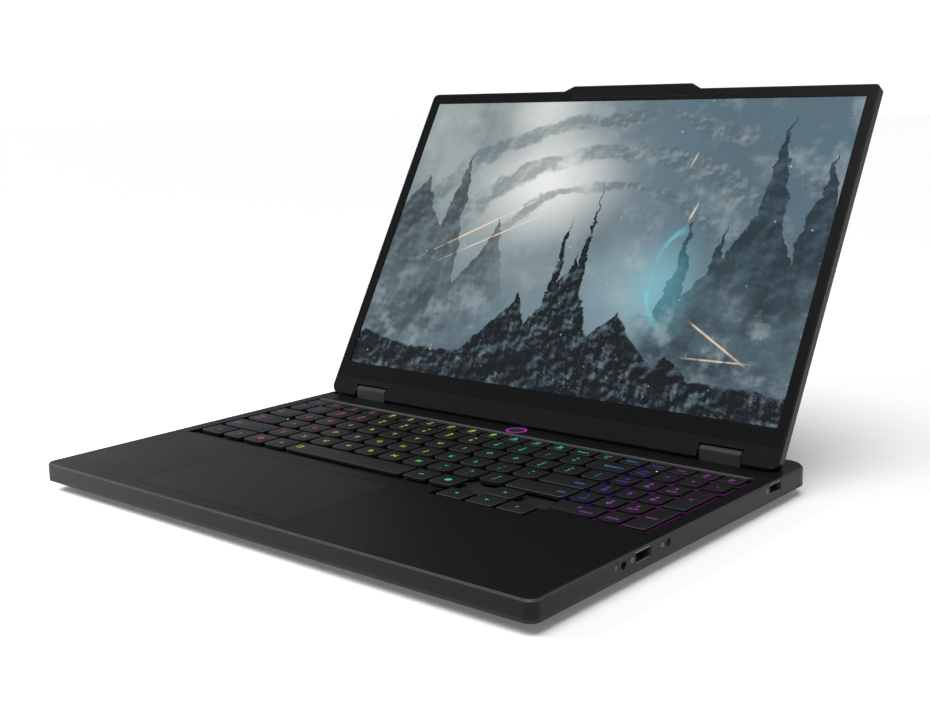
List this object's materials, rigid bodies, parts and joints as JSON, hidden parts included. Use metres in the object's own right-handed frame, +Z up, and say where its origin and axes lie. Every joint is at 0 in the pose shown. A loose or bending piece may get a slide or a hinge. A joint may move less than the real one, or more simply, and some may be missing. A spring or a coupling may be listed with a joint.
{
  "type": "laptop computer",
  "caption": "Open clamshell laptop with hinged lid and screen, sprung keyboard with number pad, touchpad, buttons, side and rear sockets, and its inner parts.",
  "frame": {"origin": "centre of the bottom of the object's box, on the plane that its rubber feet stand on, with the lid open as pictured", "axes": "+X to the user's right, -Y towards the user, +Z up; the lid turns about an axis along X"},
  "size_m": [0.3552, 0.3542, 0.2286],
  "materials": {
    "shell_plastic": "fine matte, dark grey",
    "lid_metal": "satin, dark grey",
    "bottom_plastic": "matte, near black",
    "bezel_plastic": "fine matte, black",
    "key_plastic": "matte, dark grey, with clear legends",
    "plate_metal": "matte black",
    "foot_rubber": "matte",
    "screw_steel": "dark oxide",
    "bracket_steel": "brushed",
    "socket_steel": "satin",
    "clear_plastic": "clear, gloss",
    "light_ring": "glowing magenta",
    "touch_glass": "smooth matte",
    "board": "green solder mask",
    "chip": "matte black",
    "copper": "satin copper",
    "black_plastic": "matte black",
    "silicone": "translucent",
    "screen_glass": "lit picture behind a smooth sheet"
  },
  "bodies": {
    "root": {"top_cover": "shell_plastic", "bottom_cover": "bottom_plastic", "rubber_feet": "foot_rubber", "bottom_screws": "screw_steel", "keyboard_plate": "plate_metal", "dome_sheet": "silicone", "light_guide": "clear_plastic", "touchpad_bracket": "bracket_steel", "power_light_ring": "light_ring", "button_switches": "board", "base_cables": "black_plastic", "mainboard": "board", "processors": "chip", "memory_modules": "board", "solid_state_drive": "chip", "wireless_card": "board", "io_boards": "board", "battery": "black_plastic", "speakers": "black_plastic", "fan_housings": "black_plastic", "heat_sink": "copper", "fin_stacks": "copper", "usb_sockets": "socket_steel", "headset_jack": "black_plastic", "rear_sockets": "socket_steel", "hinge_brackets": "bracket_steel", "hinge_covers": "lid_metal"},
    "lid": {"hinge_pins": "bracket_steel", "hinge_arms": "bracket_steel", "lid_cover": "lid_metal", "screen_bezel": "bezel_plastic", "chin_cover": "shell_plastic", "display_panel": "screen_glass", "camera_module": "chip", "display_board": "board", "display_cable": "black_plastic"},
    "left_fan": {"left_fan_rotor": "black_plastic"},
    "right_fan": {"right_fan_rotor": "black_plastic"},
    "touchpad": {"touchpad": "touch_glass"},
    "power_button": {"power_button": "black_plastic"},
    "shutter_button": {"shutter_button": "black_plastic"},
    "escape_key": {"escape_key": "key_plastic"},
    "function_keys": {"function_keys": "key_plastic"},
    "number_keys": {"number_keys": "key_plastic"},
    "backspace_key": {"backspace_key": "key_plastic"},
    "upper_letter_keys": {"upper_letter_keys": "key_plastic"},
    "home_letter_keys": {"home_letter_keys": "key_plastic"},
    "enter_key": {"enter_key": "key_plastic"},
    "left_shift_key": {"left_shift_key": "key_plastic"},
    "lower_letter_keys": {"lower_letter_keys": "key_plastic"},
    "right_shift_key": {"right_shift_key": "key_plastic"},
    "modifier_keys": {"modifier_keys": "key_plastic"},
    "space_bar": {"space_bar": "key_plastic"},
    "up_arrow_key": {"up_arrow_key": "key_plastic"},
    "left_arrow_key": {"left_arrow_key": "key_plastic"},
    "down_arrow_key": {"down_arrow_key": "key_plastic"},
    "right_arrow_key": {"right_arrow_key": "key_plastic"},
    "number_pad_keys": {"number_pad_keys": "key_plastic"},
    "pad_plus_key": {"pad_plus_key": "key_plastic"},
    "pad_enter_key": {"pad_enter_key": "key_plastic"}
  },
  "joints": [
    {"name": "lid_hinge", "type": "hinge", "parent": "root", "child": "lid", "pos_m": [0, 0.05655, 0.02116], "axis": [-1, 0, 0], "range_deg": [-119.91, 30.09]},
    {"name": "left_fan_spin", "type": "hinge", "parent": "root", "child": "left_fan", "pos_m": [-0.118, 0.01705, 0.0075], "axis": [0, 0, 1], "continuous": true},
    {"name": "right_fan_spin", "type": "hinge", "parent": "root", "child": "right_fan", "pos_m": [0.118, 0.01705, 0.0075], "axis": [0, 0, 1], "continuous": true},
    {"name": "touchpad_press", "type": "hinge", "parent": "root", "child": "touchpad", "pos_m": [-0.0433, -0.09067, 0.0152], "axis": [1, 0, 0], "range_deg": [0, 0.3], "stiffness_Nm_per_rad": 15, "springref_deg": -0.23},
    {"name": "power_button_press", "type": "slide", "parent": "root", "child": "power_button", "axis": [0, 0, -1], "range_m": [0, 0.0005], "stiffness_N_per_m": 1500, "springref_m": -0.0004},
    {"name": "shutter_button_press", "type": "slide", "parent": "root", "child": "shutter_button", "axis": [-1, 0, 0], "range_m": [0, 0.0005], "stiffness_N_per_m": 1500, "springref_m": -0.0004},
    {"name": "escape_key_press", "type": "slide", "parent": "root", "child": "escape_key", "axis": [0, 0, -1], "range_m": [0, 0.0015], "stiffness_N_per_m": 400, "springref_m": -0.001},
    {"name": "function_keys_press", "type": "slide", "parent": "root", "child": "function_keys", "axis": [0, 0, -1], "range_m": [0, 0.0015], "stiffness_N_per_m": 400, "springref_m": -0.001},
    {"name": "number_keys_press", "type": "slide", "parent": "root", "child": "number_keys", "axis": [0, 0, -1], "range_m": [0, 0.0015], "stiffness_N_per_m": 400, "springref_m": -0.001},
    {"name": "backspace_key_press", "type": "slide", "parent": "root", "child": "backspace_key", "axis": [0, 0, -1], "range_m": [0, 0.0015], "stiffness_N_per_m": 400, "springref_m": -0.001},
    {"name": "upper_letter_keys_press", "type": "slide", "parent": "root", "child": "upper_letter_keys", "axis": [0, 0, -1], "range_m": [0, 0.0015], "stiffness_N_per_m": 400, "springref_m": -0.001},
    {"name": "home_letter_keys_press", "type": "slide", "parent": "root", "child": "home_letter_keys", "axis": [0, 0, -1], "range_m": [0, 0.0015], "stiffness_N_per_m": 400, "springref_m": -0.001},
    {"name": "enter_key_press", "type": "slide", "parent": "root", "child": "enter_key", "axis": [0, 0, -1], "range_m": [0, 0.0015], "stiffness_N_per_m": 400, "springref_m": -0.001},
    {"name": "left_shift_key_press", "type": "slide", "parent": "root", "child": "left_shift_key", "axis": [0, 0, -1], "range_m": [0, 0.0015], "stiffness_N_per_m": 400, "springref_m": -0.001},
    {"name": "lower_letter_keys_press", "type": "slide", "parent": "root", "child": "lower_letter_keys", "axis": [0, 0, -1], "range_m": [0, 0.0015], "stiffness_N_per_m": 400, "springref_m": -0.001},
    {"name": "right_shift_key_press", "type": "slide", "parent": "root", "child": "right_shift_key", "axis": [0, 0, -1], "range_m": [0, 0.0015], "stiffness_N_per_m": 400, "springref_m": -0.001},
    {"name": "modifier_keys_press", "type": "slide", "parent": "root", "child": "modifier_keys", "axis": [0, 0, -1], "range_m": [0, 0.0015], "stiffness_N_per_m": 400, "springref_m": -0.001},
    {"name": "space_bar_press", "type": "slide", "parent": "root", "child": "space_bar", "axis": [0, 0, -1], "range_m": [0, 0.0015], "stiffness_N_per_m": 400, "springref_m": -0.001},
    {"name": "up_arrow_key_press", "type": "slide", "parent": "root", "child": "up_arrow_key", "axis": [0, 0, -1], "range_m": [0, 0.0015], "stiffness_N_per_m": 400, "springref_m": -0.001},
    {"name": "left_arrow_key_press", "type": "slide", "parent": "root", "child": "left_arrow_key", "axis": [0, 0, -1], "range_m": [0, 0.0015], "stiffness_N_per_m": 400, "springref_m": -0.001},
    {"name": "down_arrow_key_press", "type": "slide", "parent": "root", "child": "down_arrow_key", "axis": [0, 0, -1], "range_m": [0, 0.0015], "stiffness_N_per_m": 400, "springref_m": -0.001},
    {"name": "right_arrow_key_press", "type": "slide", "parent": "root", "child": "right_arrow_key", "axis": [0, 0, -1], "range_m": [0, 0.0015], "stiffness_N_per_m": 400, "springref_m": -0.001},
    {"name": "number_pad_keys_press", "type": "slide", "parent": "root", "child": "number_pad_keys", "axis": [0, 0, -1], "range_m": [0, 0.0015], "stiffness_N_per_m": 400, "springref_m": -0.001},
    {"name": "pad_plus_key_press", "type": "slide", "parent": "root", "child": "pad_plus_key", "axis": [0, 0, -1], "range_m": [0, 0.0015], "stiffness_N_per_m": 400, "springref_m": -0.001},
    {"name": "pad_enter_key_press", "type": "slide", "parent": "root", "child": "pad_enter_key", "axis": [0, 0, -1], "range_m": [0, 0.0015], "stiffness_N_per_m": 400, "springref_m": -0.001}
  ]
}
